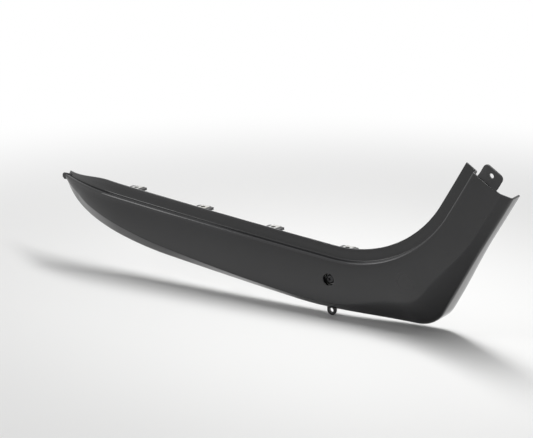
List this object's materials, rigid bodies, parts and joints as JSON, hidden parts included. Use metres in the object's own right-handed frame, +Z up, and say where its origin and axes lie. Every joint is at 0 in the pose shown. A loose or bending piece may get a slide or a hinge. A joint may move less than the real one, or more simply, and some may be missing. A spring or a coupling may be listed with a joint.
{
  "type": "scooter lower side panel",
  "caption": "Long thin moulded side panel that runs under a scooter's floorboard and turns up the leg shield, with tabs, spring nuts and a side screw",
  "frame": {"origin": "on the side screw's axis, where its free thread starts, 0.3 mm behind the face of the collar and boss that sits on the scooter's bracket", "axes": "X runs forward along the scooter, Y runs inwards from the visible face, Z is up"},
  "size_m": [0.7277, 0.0703, 0.241],
  "materials": {
    "gloss_black": "gloss black moulded and lacquered plastic, plain matt moulded on the hidden side",
    "zinc_steel": "bright zinc plated steel",
    "black_steel": "black plated screw"
  },
  "bodies": {
    "root": {"side_panel": "gloss_black", "clip_nuts": "zinc_steel", "side_screw": "black_steel", "screw_collar": "zinc_steel"}
  },
  "joints": []
}
